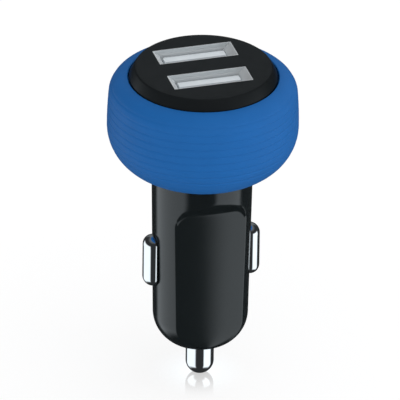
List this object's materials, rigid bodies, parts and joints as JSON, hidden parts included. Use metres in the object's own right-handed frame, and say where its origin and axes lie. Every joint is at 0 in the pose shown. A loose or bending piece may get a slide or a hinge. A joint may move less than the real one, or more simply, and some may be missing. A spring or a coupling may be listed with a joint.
{
  "type": "usb car charger",
  "caption": "Plug-in vehicle socket charger: round blue grip head with two USB ports, black barrel with side contacts and a sprung tip.",
  "frame": {"origin": "on the plug's axis, level with the lower lip of the grip ring, where the rim of a vehicle socket stops", "axes": "+Z along the plug's axis towards the ports; +X along the ports' long side; -Y is the front"},
  "size_m": [0.0364, 0.0364, 0.0662],
  "materials": {
    "blue_soft_plastic": "soft-touch satin, blue",
    "black_satin_plastic": "satin, black",
    "black_gloss_plastic": "semi-gloss, black",
    "bright_nickel": "bright nickel plate",
    "spring_steel": "drawn wire",
    "terminal_brass": "stamped brass",
    "port_steel": "bright stamped steel",
    "port_white_plastic": "moulded, off-white",
    "blade_gold": "gold flash over brass",
    "board_laminate": "green solder resist on glass laminate",
    "capacitor_sleeve": "shrunk sleeve on an aluminium can",
    "choke_ferrite": "sintered ferrite",
    "component_black": "moulded epoxy",
    "component_white": "white ceramic body"
  },
  "bodies": {
    "housing": {"grip_ring": "blue_soft_plastic", "face_plate": "black_satin_plastic", "barrel": "black_gloss_plastic", "tip_spring": "spring_steel", "tip_terminal": "terminal_brass", "usb_shell_front": "port_steel", "usb_shell_rear": "port_steel", "usb_insulator_front": "port_white_plastic", "usb_insulator_rear": "port_white_plastic", "port_board": "board_laminate", "main_board": "board_laminate", "input_capacitor": "capacitor_sleeve", "output_capacitor": "capacitor_sleeve", "choke": "choke_ferrite", "converter_chip": "component_black", "rectifier_diode": "component_black", "fuse": "component_white", "sense_resistors": "component_black", "usb_blade_front_1": "blade_gold", "usb_blade_front_2": "blade_gold", "usb_blade_front_3": "blade_gold", "usb_blade_front_4": "blade_gold", "usb_blade_rear_1": "blade_gold", "usb_blade_rear_2": "blade_gold", "usb_blade_rear_3": "blade_gold", "usb_blade_rear_4": "blade_gold"},
    "tip": {"tip_contact": "bright_nickel"},
    "left_contact": {"ground_contact_left": "bright_nickel"},
    "right_contact": {"ground_contact_right": "bright_nickel"}
  },
  "joints": [
    {"name": "tip_press", "type": "slide", "parent": "housing", "child": "tip", "axis": [0, 0, 1], "range_m": [0, 0.0025], "stiffness_N_per_m": 1500, "deforming": ["tip_spring"]},
    {"name": "left_contact_press", "type": "slide", "parent": "housing", "child": "left_contact", "axis": [1, 0, 0], "range_m": [0, 0.0012], "stiffness_N_per_m": 2500},
    {"name": "right_contact_press", "type": "slide", "parent": "housing", "child": "right_contact", "axis": [-1, 0, 0], "range_m": [0, 0.0012], "stiffness_N_per_m": 2500}
  ]
}
